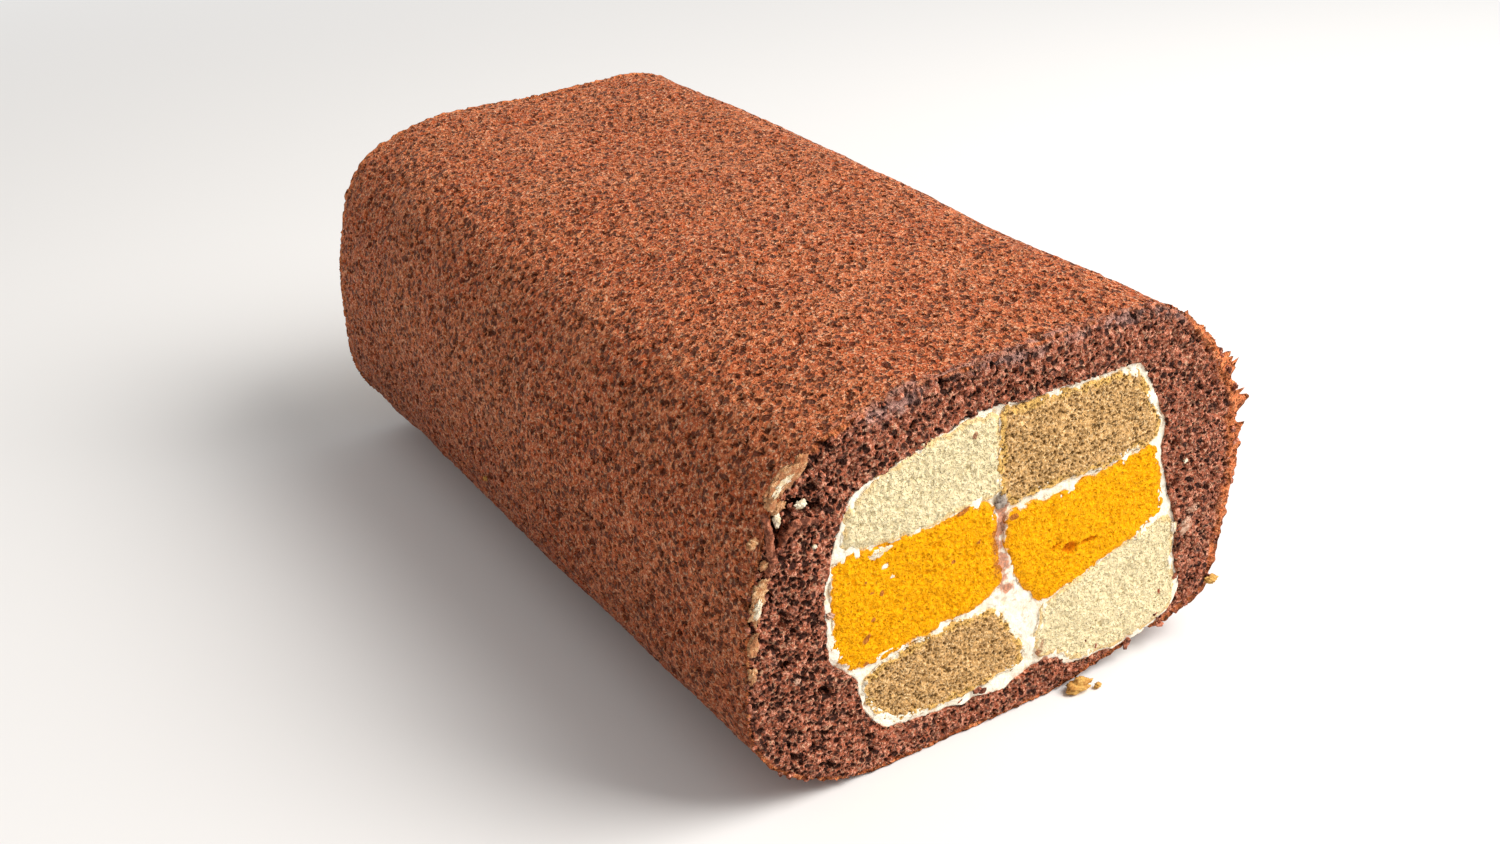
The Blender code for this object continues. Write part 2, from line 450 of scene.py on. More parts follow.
# Marks on the near face: (across, up, half width, half height, turn, strength).
TORN_HOLLOWS = [(-51.0, 56.6, 2.2, 4.2, -14, 1.0), (-48.0, 60.2, 3.4, 1.5, 8, 1.0),
                (-44.8, 59.3, 2.2, 1.0, -25, 0.9)]
BIG_HOLES = [(6.7, 68.1, 1.3, 0.9, 0, 1.0), (-49.8, 39.8, 0.8, 1.9, 8, 1.0),
             (-49.0, 31.0, 1.5, 0.8, 0, 0.8), (-41.0, 22.5, 1.6, 0.9, -30, 1.0),
             (43.5, 55.5, 1.5, 1.0, 35, 1.0), (39.0, 46.5, 1.1, 0.9, 0, 0.9),
             (47.0, 43.5, 0.8, 0.9, 0, 0.8), (40.5, 38.0, 0.9, 1.6, 0, 0.7),
             (-44.5, 63.0, 1.2, 0.8, 20, 0.7), (-52.5, 45.5, 0.9, 1.5, 0, 0.7)]
ORANGE_TEAR = [(14.0, 32.4, 2.3, 1.3, -10, 1.0), (18.4, 32.3, 2.6, 0.6, 0, 0.8),
               (10.6, 33.6, 1.7, 0.6, 20, 0.8)]
BROWN_SPECKS = [(-29.7, 38.0, 0.5, 0.6, 0, 1.0), (-32.4, 29.7, 0.9, 1.3, -20, 0.9),
                (-31.2, 33.3, 0.7, 0.6, 0, 0.9), (-33.2, 41.4, 0.6, 0.5, 0, 0.8),
                (-14.2, 38.9, 0.7, 0.5, 0, 0.9), (-8.5, 41.0, 0.6, 0.5, 0, 0.8),
                (-24.5, 33.0, 0.4, 0.3, 0, 0.7), (-32.5, 24.5, 0.7, 0.6, 0, 0.8),
                (-11.2, 62.6, 0.9, 0.8, 60, 1.0), (-12.3, 48.3, 1.8, 0.8, 20, 0.8),
                (-0.6, 43.6, 1.3, 0.8, 0, 0.9), (9.8, 8.3, 1.8, 1.0, 20, 0.9)]
# Larger pits of the skin on top: (across, along).
SKIN_HOLES = [(13.7, -83.5), (7.7, -91.2), (18.1, -90.3), (2.7, -91.9), (-0.6, -80.3),
              (-21.1, -91.3), (-4.4, -44.6)]


def wrap_outline():
    """The wrap's section as one closed outline, anticlockwise: first its skin, from the thin end
    on the right over the top to the thin end under the core, then its inner side back again.

    Returns the outline and how many of its points are skin."""
    path = anticlockwise(cut_outlines("chocolate_wrap")[0])
    path = np.roll(path, -np.argmin(np.hypot(*(path - END_FROM_RIGHT).T)), axis=0)
    stops = np.argmin(np.hypot(*(path - END_UNDER_CORE).T))
    one, two = path[:stops + 1], np.vstack([path[stops:], path[:1]])
    skin = skin_pitch(softened(even(one, 0.25, False), 9, False))
    pitch = FACE_PITCH * 1.2 * COARSE
    plain_lining = even(softened(even(two, 0.25, False), 3, False), pitch, False)
    along = lengths(plain_lining, False)
    ease = np.clip(np.minimum(along, along[::-1]) / 3, 0, 1)[:, None]
    lining = plain_lining + (wavered(plain_lining) - plain_lining) * ease
    return np.vstack([skin, lining[1:-1]]), len(skin)


def skin_pitch(skin):
    """Skin points close together where it shows and further apart on the underside."""
    along = lengths(skin, False)
    density = np.where(skin[:, 1] < UNDERSIDE, 1 / UNDER_PITCH, 1 / SKIN_PITCH) / COARSE
    count = np.concatenate([[0], np.cumsum((density[1:] + density[:-1]) / 2 * np.diff(along))])
    at = np.interp(np.linspace(0, count[-1], int(count[-1]) + 1), count, along)
    return np.stack([np.interp(at, along, skin[:, k]) for k in (0, 1)], axis=1)


def skin_relief(s, y, base):
    """How far the skin stands out, in millimetres, and how much each place is a pit (0..1).

    Pits of two sizes are pressed into a skin that swells gently over several
    centimetres and has a fine grain.  s runs round the section and y along the roll."""
    up = base[..., 1]
    fine = pores(s, y, 2.0, 0.38, 0.78, 0.85, 301)
    wide = pores(s, y, 4.2, 0.45, 0.95, 0.4, 341)
    for x, along in SKIN_HOLES:
        away = np.hypot(base[..., 0] - x, y - along)
        wide = np.maximum(wide, np.where(up > 60, np.clip(1.9 - 1.9 * (away / 0.9) ** 2, 0, 1), 0))
    swell = 0.9 * rolling(s, y, 42.0, 361) + 0.35 * rolling(s, y, 14.0, 362)
    grain = grainy(s, y, 1.3, 371, 2)
    out = swell - sizes().pit_depth * fine - sizes().wide_pit_depth * wide + 0.25 * grain
    settle = np.clip(up / 5.0, 0, 1)
    out = np.minimum(out * (0.25 + 0.75 * settle), 0.25 + 3 * settle)
    return out, np.clip(np.maximum(0.85 * fine, 1.3 * wide) + 0.1 * grain, 0, 1)


def fringe(x, z):
    """How much the torn skin flares at a place of the section: most on the right side."""
    return np.clip((x - 36) / 10, 0, 1) * np.clip((z - 14) / 12, 0, 1)


def flare(s, base):
    """How far the skin's edge stands out at a cut end, in millimetres: fine spikes, long ones
    on the right side."""
    spikes = np.clip(grainy(s, s * 0, 6.0, 811, 3) * 1.5 + 0.5, 0.1, 1.4)
    fine = np.clip(0.25 + 1.7 * grainy(s, s * 0, 1.5, 815, 2), 0, 1.5)
    x, z = base.T
    return (0.3 + sizes().fringe * fringe(x, z) * spikes) * fine * np.clip(z / 6, 0, 1)


def end_fray(s, seed):
    """Raggedness of the skin's edge at a cut end: how far it stops short of the cut plane."""
    return 0.55 + 0.35 * grainy(s, s * 0 + seed, 3.0, seed, 3) + 0.25 * rolling(
        s, s * 0, 0.9, seed + 5)


def wrap_rows():
    """Distances along the roll of the skin's rows, and the rows at which it is split."""
    pitch = SKIN_PITCH * COARSE
    y = np.linspace(NEAR_Y, FAR_Y, int(LENGTH / pitch) + 1)
    count = len(y) - 1
    return y, [0, *[int(count * share) for share in SPLITS], count]


def face_fall(p, skin, seed):
    """How the cut face rounds off into the skin: depth grows within a millimetre of it."""
    away = nearest(p, skin)
    uneven = 0.55 + 0.5 * grainy(p[:, 0], p[:, 1], 2.0, seed + 11)
    bulge = 0.8 * fringe(p[:, 0], p[:, 1]) * np.exp(-((away - 1.2) / 0.9) ** 2)
    return uneven * (np.exp(-(away / 0.9) ** 2) - bulge), away


def wrap_face(p, skin, near):
    """Depth and marks of a wrap end: crumb relief, rounding at the skin and, on the near one,
    torn hollows and big holes."""
    seed = 500 if near else 700
    depth, pore = crumb_relief(p, "chocolate", seed)
    pore = pore + 0.22 * np.clip((-30 - p[:, 0]) / 12, 0, 1)
    fall, away = face_fall(p, skin, seed)
    hollow = np.zeros(len(p))
    if near:
        hollow = np.maximum(patches(p, TORN_HOLLOWS, 7), 0.45 * patches(p, BIG_HOLES, 8))
    depth = depth + fall + HOLLOW_DEPTH * hollow
    torn = 1.0 + 2.6 * fringe(p[:, 0], p[:, 1])
    torn = torn * (1 + 0.5 * grainy(p[:, 0], p[:, 1], 2.4, seed + 23))
    rim = np.clip(1 - away / torn, 0, 1)
    band = grey_band(p, away) if near else 0.3 * grey_band(p, away)
    return depth, dict(pore=np.clip(np.maximum(pore, 1.2 * hollow), 0, 1), rim=rim, band=band,
                       skin=np.clip(1 - away / 0.45, 0, 1))


def under_knife(x, z, low, over):
    """Where a knife dragged along the top: 0 below a height, 1 from so far over it, and falling
    off toward both sides of the roll."""
    return np.clip((z - low) / over, 0, 1) * np.clip((x + 48) / 12, 0, 1) * \
        np.clip((40 - x) / 8, 0, 1)


def grey_band(p, away):
    """The dull smear that a knife leaves under the top edge: strongest on the top of the face."""
    x, z = p.T
    top = under_knife(x, z, 64, 6)
    uneven = 0.75 + 1.1 * grainy(x, z, 4.5, 77, 3)
    wide = 1.9 + 0.9 * rolling(x, z, 6.0, 79)
    return np.clip(top * np.exp(-((away - 0.9) / wide) ** 2) * uneven, 0, 1)


def make_wrap(finish):
    """The wrap in four lengths, each a closed body: skin, inner side, and either a cut face or a
    plain butt where the next length goes on without a visible joint."""
    outline, skins = wrap_outline()
    skin = outline[:skins]
    s = lengths(skin, False)
    normal = outward(skin, False)
    section, tri = flat_section([outline], FACE_PITCH * COARSE)
    y, cuts = wrap_rows()
    for part, name in enumerate(WRAP_LENGTHS):
        rows = y[cuts[part]:cuts[part + 1] + 1]
        ends = [part == 0, part == len(SPLITS)]
        build_length(name, rows, ends, outline, skins, s, normal, section, tri, finish)


def build_length(name, rows, ends, outline, skins, s, normal, section, tri, finish):
    """One length of the wrap.  The skin is the outline moved along its own outward direction by
    the relief, row after row; an end is the filled section moved along the roll."""
    count = len(outline)
    ss, yy = np.meshgrid(s, rows)
    base = np.broadcast_to(outline[:skins], (len(rows), skins, 2))
    out, pit = skin_relief(ss, yy, base)
    yy = yy.copy()
    for row, here, way, seed, reach in ((0, ends[0], 1, 905, 1.0), (-1, ends[1], -1, 955, 0.5)):
        if here:
            yy[row] += way * end_fray(s, seed)
            yy[row + way] += way * 0.6 * end_fray(s, seed)
            yy[row + 2 * way] += way * 0.25 * end_fray(s, seed)
            for k, share in enumerate((1.0, 0.8, 0.45, 0.2)):
                out[row + k * way] += reach * share * flare(s + seed, outline[:skins])
    tips = np.clip(np.minimum(s, s[-1] - s) / 3, 0, 1)
    place = base + (out * tips)[..., None] * normal[None]
    skin_points = np.stack([place[..., 0], yy, place[..., 1] * rise(yy)], axis=-1)
    skin_points[..., 2] = np.maximum(skin_points[..., 2], 0.0)
    points = [skin_points.reshape(-1, 3)]
    near_rim = np.clip(1 - (yy - NEAR_Y) / (1.2 + 1.8 * fringe(*np.moveaxis(base, -1, 0))), 0, 1)
    far_rim = np.clip(1 - (FAR_Y - yy) / 2.5, 0, 1)
    marks = dict(pore=pit.reshape(-1), skin=np.ones(pit.size),
                 rim=np.maximum(near_rim, far_rim).reshape(-1),
                 band=skin_band(base, yy).reshape(-1))
    polygons = [strips(skins, len(rows), 0, False)]
    total = points[0].shape[0]
    loops = []
    for end, here in enumerate(ends):
        row_first = 0 if end == 0 else (len(rows) - 1) * skins
        at = rows[0] if end == 0 else rows[-1]
        inner = np.arange(total, total + count - skins)
        loop = np.concatenate([np.arange(row_first, row_first + skins), inner])
        loops.append(loop)
        if here:
            depth, face = wrap_face(section, outline[:skins], end == 0)
            yf = at + depth if end == 0 else at - FAR_CRUMB * depth
            flat = np.stack([section[:, 0], yf, section[:, 1] * rise(yf)], axis=1)
            index = np.concatenate([loop[:skins], total + np.arange(len(section) - skins)])
            points.append(flat[skins:])
            for mark in marks:
                marks[mark] = np.concatenate([marks[mark], face[mark][skins:]])
            faces = index[tri]
            polygons.append(faces if end == 0 else faces[:, ::-1])
            total += len(section) - skins
        else:
            flat = np.stack([outline[skins:, 0], np.full(count - skins, at),
                             outline[skins:, 1] * rise(at)], axis=1)
            points.append(flat)
            for mark in marks:
                marks[mark] = np.concatenate([marks[mark], np.zeros(count - skins)])
            total += count - skins
    near, far = loops
    body = len(polygons)
    polygons.append(np.stack([near[skins:-1], far[skins:-1], far[skins + 1:], near[skins + 1:]],
                             axis=1))
    first_column = np.arange(len(rows)) * skins
    last_column = first_column + skins - 1
    polygons.append(np.concatenate([[near[skins]], last_column, [far[skins]]])[None, ::-1])
    polygons.append(np.concatenate([[near[-1]], first_column, [far[-1]]])[None])
    flats = [body, body + 1, body + 2]
    for end, here in enumerate(ends):
        if not here:
            loop = loops[end]
            flats.append(len(polygons))
            polygons.append((loop if end == 0 else loop[::-1])[None])
    new_piece(name, np.vstack(points), polygons, finish, "chocolate_wrap",
              marks, flats)


def skin_band(base, y):
    """The knife's dull smear where it runs over onto the top of the skin."""
    x, z = base[..., 0], base[..., 1]
    top = under_knife(x, z, 66, 4)
    uneven = 0.7 + 0.9 * grainy(x, y, 3.5, 78, 3)
    return np.clip(top * np.exp(-((y - NEAR_Y) / 2.0) ** 2) * uneven, 0, 1)


def block_outline(node, kind):
    """A block's torn outline; it presses over the cream a little beyond its solid."""
    path = softened(even(anticlockwise(cut_outlines(node)[0]), 0.2), 2)
    path = path + (BLOCK_SPREAD + PRESSED[kind]) * outward(path)
    return ragged(wavered(even(path, CRUMB_PITCH * COARSE)), 0.6)


def make_block(node, kind, finish, seed):
    """A sponge block: near cut face, plain sides, far cut face, as one closed body."""
    path = block_outline(node, kind)
    section, tri = flat_section([path], CRUMB_PITCH * COARSE)
    build_prism(node.replace("_block", "_sponge"), node, [path], section, tri, kind, finish,
                seed)


def build_prism(name, node, outlines, section, tri, kind, finish, seed):
    """A closed body between two cut faces; its sides follow the outlines in straight lines."""
    points, polygons, marks = [], [], None
    count = sum(len(o) for o in outlines)
    for end in (0, 1):
        depth, face = food_face(section, outlines, kind, seed + 1000 * end, end == 0, node)
        y = NEAR_Y + depth if end == 0 else FAR_Y - depth
        points.append(np.stack([section[:, 0], y, section[:, 1] * rise(y)], axis=1))
        faces = tri + end * len(section)
        polygons.append(faces if end == 0 else faces[:, ::-1])
        marks = face if marks is None else {k: np.concatenate([marks[k], face[k]])
                                            for k in face}
    first = 0
    for path in outlines:
        j = first + np.arange(len(path))
        k = first + (np.arange(len(path)) + 1) % len(path)
        polygons.append(np.stack([j, j + len(section), k + len(section), k], axis=1))
        first += len(path)
    new_piece(name, np.vstack(points), polygons, finish, node, marks,
              list(range(2, len(polygons))))


def food_face(p, outlines, kind, seed, near, node):
    """Depth and marks of one cut face of a block or of the cream."""
    away = nearest(p, np.vstack(outlines))
    x, z = p.T
    specks = patches(p, BROWN_SPECKS, 13) if near else 0.0
    if kind == "cream":
        depth = sizes().cream_recess + 0.35 * rolling(x, z, 3.2, seed) + 0.25 * grainy(x, z, 1.3, seed + 3)
        depth = depth + 0.45 * pores(x, z, 2.4, 0.3, 0.7, 0.4, seed + 5)
        smear = seam_smear(p, 2.2) * np.clip(0.35 + (z - 24) / 8, 0.35, 1)
        return depth, dict(pore=np.clip(0.3 + 0.6 * depth, 0, 1), rim=np.clip(1 - away, 0, 1),
                           smear=np.maximum(smear, specks))
    depth, pore = crumb_relief(p, kind, seed)
    ease = np.exp(-(away / 0.8) ** 2)
    depth = depth * (1 - 0.5 * ease) + 0.25 * ease * (1 + grainy(x, z, 1.4, seed + 7, 2))
    smear = np.maximum(0.8 * seam_smear(p, 2.4), specks)
    tear = np.zeros(len(p))
    if near and node == "orange_block_right":
        tear = patches(p, ORANGE_TEAR, 12)
        depth = depth + 1.2 * tear
    baked = 3.4 if kind == "coffee" else 2.2
    return depth, dict(pore=pore, rim=np.clip(1 - away / baked, 0, 1), smear=smear, tear=tear)


SEAM = np.array([(-3.6, 46.0), (-3.8, 41.0), (-3.4, 36.0), (-1.6, 30.0), (1.5, 25.0),
                 (5.0, 20.0), (7.5, 14.0), (9.5, 8.5)])


def seam_smear(p, wide):
    """Brown crumb dragged down the upright seam between the two columns of blocks: full on the
    seam, broken up, and nothing beyond the given width."""
    path = even(SEAM, 0.3, False)
    away = nearest(p, path)
    uneven = 0.75 + 0.9 * grainy(p[:, 0], p[:, 1], 2.6, 31) + 0.4 * grainy(
        p[:, 0], p[:, 1], 0.9, 32)
    return np.clip((1.3 - away / wide) * uneven, 0, 1)


def make_cream(finish):
    """The cream: a coat inside the wrap and walls between the blocks, one closed body."""
    coat = softened(even(anticlockwise(cut_outlines("cream_filling")[0]), 0.2), 4)
    coat = coat + 0.35 * outward(coat)
    outlines = [ragged(wavered(even(coat, FACE_PITCH * COARSE)), 0.25)]
    for node in BLOCKS:
        pocket = softened(even(anticlockwise(cut_outlines(node)[0]), 0.2), 3)
        outlines.append(wavered(even(pocket, FACE_PITCH * COARSE))[::-1])
    section, tri = flat_section(outlines, FACE_PITCH * COARSE)
    build_prism("cream", "cream_filling", outlines, section, tri, "cream", finish, 40)


# ---------------------------------------------------------------- clinging crumbs and torn flakes

TABLE_GAP = 0.02              # how far above the table a loose crumb's lowest points lie

# Each is (across, along, up, half length, half width, half thickness, turn, bend): the turn is
# in degrees in the plane of the cut face, and the bend lifts both ends toward the viewer.
TAN_FLAKES = [
    (-50.6, -90.6, 66.2, 3.4, 1.5, 0.5, 36, 0.5), (-47.6, -90.6, 68.2, 1.9, 1.1, 0.5, 60, 0),
    (-52.6, -90.3, 63.6, 1.6, 1.0, 0.5, 80, 0.3), (-51.2, -90.2, 61.6, 1.2, 0.7, 0.5, 20, 0.1),
    (-54.9, -90.3, 47.4, 2.2, 1.3, 0.5, 70, 0.4), (-55.6, -90.2, 43.4, 1.9, 1.0, 0.5, 95, 0.2),
    (-55.9, -90.1, 37.6, 1.9, 0.9, 0.5, 80, 0.3), (-55.8, -89.9, 56.4, 0.9, 0.8, 0.4, 20, 0),
    (-55.9, -89.9, 31.6, 1.5, 0.9, 0.5, 95, 0.2), (-53.6, -90.0, 51.8, 0.9, 0.7, 0.4, 60, 0)]
CREAM_CHIPS = [
    (-51.4, -90.3, 59.4, 1.3, 0.55, 0.35, 100, 0), (-46.8, -90.1, 60.8, 1.0, 0.7, 0.35, 10, 0),
    (-55.3, -90.7, 44.6, 1.5, 0.65, 0.35, 80, 0), (-51.2, -91.0, 65.9, 2.0, 0.6, 0.3, 36, 0.4),
    (-29.6, -89.7, 43.0, 1.1, 0.7, 0.3, 20, 0), (-27.6, -89.7, 40.6, 0.6, 0.4, 0.25, 0, 0),
    (-30.4, -89.7, 46.4, 2.5, 0.9, 0.35, 8, 0), (42.3, -90.1, 42.0, 0.5, 0.45, 0.3, 0, 0),
    (41.5, -90.0, 27.6, 0.8, 1.3, 0.35, 0, 0), (-44.0, -90.0, 52.0, 0.45, 0.35, 0.3, 0, 0)]
PINK_CRUMBS = [
    (44.8, -90.1, 26.9, 1.9, 1.4, 0.5, 70, 0), (46.0, -90.1, 30.4, 1.2, 0.7, 0.5, 15, 0),
    (-40.5, -90.0, 37.5, 0.6, 0.5, 0.4, 0, 0), (-47.2, -90.0, 27.0, 0.7, 0.6, 0.4, 0, 0)]
GOLDEN_CRUMBS = [
    (54.2, -90.6, 11.6, 1.4, 0.8, 0.7, 0, 0), (-57.4, 9.4, 23.4, 0.45, 0.5, 0.45, 0, 0),
    (17.9, -91.9, 1.0, 2.3, 1.1, 1.2, 8, 0), (21.6, -93.4, 0.5, 0.7, 0.5, 0.5, 0, 0),
    (-45.7, 88.5, 70.6, 1.1, 0.8, 0.7, 30, 0)]
GREY_LUMPS = [(-3.9, -89.8, 47.4, 1.3, 1.1, 0.5, 60, 0)]
# Curled edges of torn skin: rows of (across, along, up, half thickness) along each curl.
CURLS = [[(-50.2, -89.4, 53.6, 0.5), (-49.7, -90.2, 56.0, 0.65), (-48.4, -90.5, 57.5, 0.65),
          (-46.4, -90.4, 57.8, 0.6), (-44.2, -90.1, 57.0, 0.5), (-42.8, -89.5, 55.8, 0.4)],
         [(-53.6, -89.8, 60.8, 0.5), (-53.2, -90.5, 58.0, 0.6), (-52.9, -90.6, 55.0, 0.65),
          (-52.6, -90.3, 51.8, 0.6), (-53.1, -89.8, 49.4, 0.4)]]


def closed_rings(sides, rings):
    """Quads between the rings of a lump or a rope, and the triangles to its first and last tip,
    which are the two points after the rings."""
    count = rings * sides
    here = np.arange(sides)
    after = (here + 1) % sides
    first = np.stack([np.full(sides, count), here, after], axis=1)
    last = np.stack([np.full(sides, count + 1), count - sides + after, count - sides + here],
                    axis=1)
    return strips(sides, rings), np.concatenate([first, last])


def lump(place, seed, rings=17, sides=26):
    """A closed crumb: a ball stretched to its half sizes, roughened by smooth noise, bent and
    turned, and never below the table.  Returns its points and its side and tip faces."""
    x, y, z, long, wide, thick, turn, bend = place
    v = np.linspace(0, math.pi, rings)[1:-1, None]
    u = np.linspace(0, 2 * math.pi, sides, endpoint=False)[None]
    a = np.append((np.cos(v) + 0 * u).reshape(-1), [1, -1])
    b = np.append((np.sin(v) * np.cos(u)).reshape(-1), [0, 0])
    c = np.append((np.sin(v) * np.sin(u)).reshape(-1), [0, 0])
    rough = 1 + 0.9 * grainy(3.4 * a + 1.7 * c + seed, 3.1 * b - 1.3 * c, 1.0, seed, 3)
    a, b, c = a * long * rough, b * wide * rough, c * thick * rough
    c = c - bend * (a / long) ** 2
    co, si = math.cos(math.radians(turn)), math.sin(math.radians(turn))
    up = np.maximum(z + a * si + b * co, TABLE_GAP)
    points = np.stack([x + a * co - b * si, y + c, up], axis=1)
    return points, *closed_rings(sides, rings - 2)


def curl(rows, seed, sides=12):
    """A closed rope along a path that is eased between its rows, with a rough skin: points at
    distance r from the path, r eased too, and closed by a tip at each end."""
    rows = np.array(rows)
    at = np.linspace(0, len(rows) - 1, 26)
    path = np.stack([np.interp(at, np.arange(len(rows)), rows[:, k]) for k in range(4)], axis=1)
    for k in range(4):
        path[1:-1, k] = (path[:-2, k] + 2 * path[1:-1, k] + path[2:, k]) / 4
    run = np.gradient(path[:, :3], axis=0)
    run /= np.linalg.norm(run, axis=1)[:, None]
    side = np.cross(run, [0.0, 1.0, 0.0])
    side /= np.linalg.norm(side, axis=1)[:, None]
    over = np.cross(run, side)
    u = np.linspace(0, 2 * math.pi, sides, endpoint=False)
    s = np.arange(len(path))[:, None] * 0.35
    rough = 1 + 0.9 * grainy(1.6 * s + 2 * np.cos(u)[None] + seed, 2 * np.sin(u)[None] - s, 1.0,
                             seed, 3)
    r = path[:, 3:4] * rough
    ring = path[:, None, :3] + (r * np.cos(u))[..., None] * side[:, None] + \
        (r * np.sin(u))[..., None] * over[:, None]
    points = np.vstack([ring.reshape(-1, 3), path[0, :3] - 0.3 * run[0],
                        path[-1, :3] + 0.3 * run[-1]])
    return points, *closed_rings(sides, len(path))


def lumps(places):
    """A crumb at each of the listed places."""
    return [lump(place, 7000 + k) for k, place in enumerate(places)]


def make_bits(name, parts, finish):
    """Closed bodies of one kind as one piece, each turned so that its faces look outward."""
    points, quads, tips, tones, first = [], [], [], [], 0
    for k, (co, q, t) in enumerate(parts):
        solid = np.concatenate([q[:, [0, 1, 2]], q[:, [0, 2, 3]], t])
        a, b, c = (co[solid[:, i]] - co.mean(axis=0) for i in range(3))
        if np.sum(a * np.cross(b, c)) < 0:
            q, t = q[:, ::-1], t[:, ::-1]
        points.append(co)
        quads.append(q + first)
        tips.append(t + first)
        tones.append(np.full(len(co), lattice(np.array([k]), np.array([3]), 77)[0]))
        first += len(co)
    new_piece(name, np.vstack(points), [np.vstack(quads), np.vstack(tips)], finish, None,
              dict(tone=np.concatenate(tones)))


LOWEST_CRUMB = 2.5            # no crumb clings below this height


def scattered_crumbs():
    """Small chocolate crumbs along the near cut, closer together toward the torn edge of the
    skin: the distance in from it grows with the square of an even random number."""
    outline, skins = wrap_outline()
    skin = outline[:skins]
    normal = outward(skin, False)
    ids = np.arange(sizes().crumbs)
    draw = [lattice(ids, ids * 0 + k, 4001) for k in range(8)]
    at = (draw[0] * (skins - 1)).astype(int)
    inward = 0.1 + 9.0 * draw[1] ** 2
    places = skin[at] - inward[:, None] * normal[at]
    parts = []
    for k, (x, z) in enumerate(places):
        if z < LOWEST_CRUMB:
            continue
        size = 0.22 + 0.4 * draw[2][k] ** 2
        parts.append(lump((x, NEAR_Y - 0.05 + 0.35 * draw[3][k], z, size * (1 + draw[4][k]), size,
                           size, 360 * draw[5][k], 0), 5000 + k, 5, 7))
    return parts


# ---------------------------------------------------------------- materials

class Wire:
    """A node's output that takes part in arithmetic; each operation adds one Math node."""

    def __init__(self, finish, socket):
        self.finish, self.socket = finish, socket

    def math(self, operation, *values):
        return self.finish.node("ShaderNodeMath", {"operation": operation},
                                dict(enumerate(values)))

    def __add__(self, other):
        return self.math("ADD", self, other)

    def __radd__(self, other):
        return self.math("ADD", other, self)

    def __sub__(self, other):
        return self.math("SUBTRACT", self, other)

    def __rsub__(self, other):
        return self.math("SUBTRACT", other, self)

    def __mul__(self, other):
        return self.math("MULTIPLY", self, other)

    def __rmul__(self, other):
        return self.math("MULTIPLY", other, self)

    def clipped(self):
        return self.math("MINIMUM", self.math("MAXIMUM", self, 0.0), 1.0)


class Tree:
    """A node tree and the one way of adding a node to it."""

    def __init__(self, tree):
        self.tree = tree

    def node(self, kind, settings=None, inputs=None, output=0):
        """A node with its settings, then its inputs as values or wires, as a wire."""
        made = self.tree.nodes.new(kind)
        for key, value in (settings or {}).items():
            setattr(made, key, value)
        for key, value in (inputs or {}).items():
            if isinstance(value, Wire):
                self.tree.links.new(value.socket, made.inputs[key])
            else:
                made.inputs[key].default_value = value
        return Wire(self, made.outputs[output]) if made.outputs else None


class Finish(Tree):
    """The node material of one food."""

    def __init__(self, name, roughness=0.85, specular=0.3):
        self.material = bpy.data.materials.new(name)
        self.material.use_nodes = True
        super().__init__(self.material.node_tree)
        self.tree.nodes.clear()
        place = self.node("ShaderNodeTexCoord", output="Object")
        self.place = self.node("ShaderNodeVectorMath", {"operation": "SCALE"},
                               {0: place, "Scale": 1000.0})
        shake = self.node("ShaderNodeTexNoise", None,
                          {"Vector": self.place, "Scale": 1.1, "Detail": 1.0}, "Color")
        self.shaken = self.node("ShaderNodeVectorMath", {"operation": "MULTIPLY_ADD"},
                                {0: shake, 1: (0.9, 0.9, 0.9), 2: self.place})
        self.shader = self.tree.nodes.new("ShaderNodeBsdfPrincipled")
        self.shader.inputs["Roughness"].default_value = roughness
        self.shader.inputs["Specular IOR Level"].default_value = specular
        self.end = self.tree.nodes.new("ShaderNodeOutputMaterial")
        self.tree.links.new(self.shader.outputs[0], self.end.inputs["Surface"])

    def mark(self, name):
        """A number kept at each point of the piece."""
        return self.node("ShaderNodeAttribute", {"attribute_name": name}, output="Fac")

    def noise(self, size, detail=2.0, rough=0.5, output="Fac"):
        """Cloudy noise from 0 to 1 whose blotches are about that many millimetres."""
        return self.node("ShaderNodeTexNoise", None,
                         {"Vector": self.place, "Scale": 1.0 / size, "Detail": detail,
                          "Roughness": rough}, output)

    def pits(self, size):
        """Fine pits side by side about that many millimetres apart: 1 in a pit, 0 on a wall."""
        where = {"Vector": self.shaken, "Scale": 1.0 / size}
        wall = self.node("ShaderNodeTexVoronoi", {"feature": "DISTANCE_TO_EDGE"}, where,
                         "Distance")
        own = self.node("ShaderNodeTexVoronoi", None, where, "Color")
        return self.ramp(wall, 0.04, 0.24) * self.ramp(own, 0.2, 0.7)

    def dots(self, size, reach):
        """Round pits scattered about that many millimetres apart, of every width up to a reach
        counted in that distance: 1 in a pit, 0 outside."""
        away = self.node("ShaderNodeTexVoronoi", None,
                         {"Vector": self.shaken, "Scale": 1.0 / size}, "Distance")
        return self.ramp(away, reach * 0.5, reach, 1.0, 0.0)

    def ramp(self, value, low, high, to_low=0.0, to_high=1.0):
        """A value carried smoothly from one range to another and held at its ends."""
        return self.node("ShaderNodeMapRange", {"interpolation_type": "SMOOTHSTEP"},
                         {"Value": value, "From Min": low, "From Max": high,
                          "To Min": to_low, "To Max": to_high})

    def mix(self, share, one, two, blend="MIX"):
        """Colour one going over to colour two by share."""
        return self.node("ShaderNodeMix", {"data_type": "RGBA", "blend_type": blend},
                         {0: share, 6: one, 7: two}, 2)

    def bump(self, height, distance, strength=1.0):
        """Fine relief below the size of the mesh, in millimetres."""
        wire = self.node("ShaderNodeBump", None,
                         {"Height": height, "Distance": distance * MM, "Strength": strength})
        self.tree.links.new(wire.socket, self.shader.inputs["Normal"])

    def colour(self, wire):
        self.tree.links.new(wire.socket, self.shader.inputs["Base Color"])


